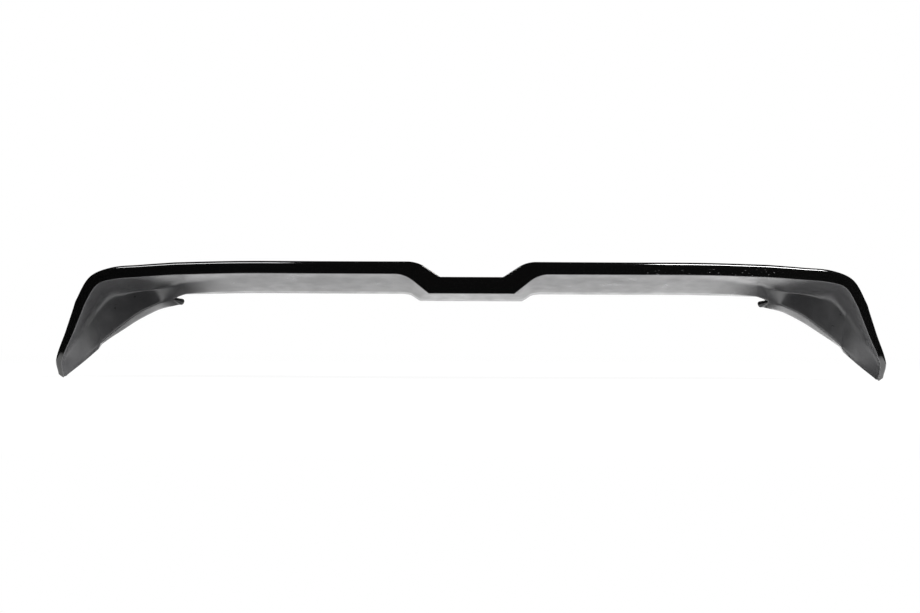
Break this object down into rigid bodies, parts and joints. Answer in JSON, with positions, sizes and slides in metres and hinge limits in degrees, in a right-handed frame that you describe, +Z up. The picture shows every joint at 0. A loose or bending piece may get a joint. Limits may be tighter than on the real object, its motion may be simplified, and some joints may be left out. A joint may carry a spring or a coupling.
{
  "type": "car spoiler",
  "caption": "Rear roof spoiler cap: one gloss black formed sheet with a rolled trailing edge, a notch in the middle and a fin at each end, bonded on by its leading flange.",
  "frame": {"origin": "middle of the underside of the leading flange, on the centre line, where the cap is bonded on", "axes": "+X across the car to the right as seen from behind, +Y to the car's front, +Z up"},
  "size_m": [1.2168, 0.2192, 0.1718],
  "materials": {
    "shell": "gloss outside, satin inside"
  },
  "bodies": {
    "root": {"spoiler_shell": "shell"}
  },
  "joints": []
}
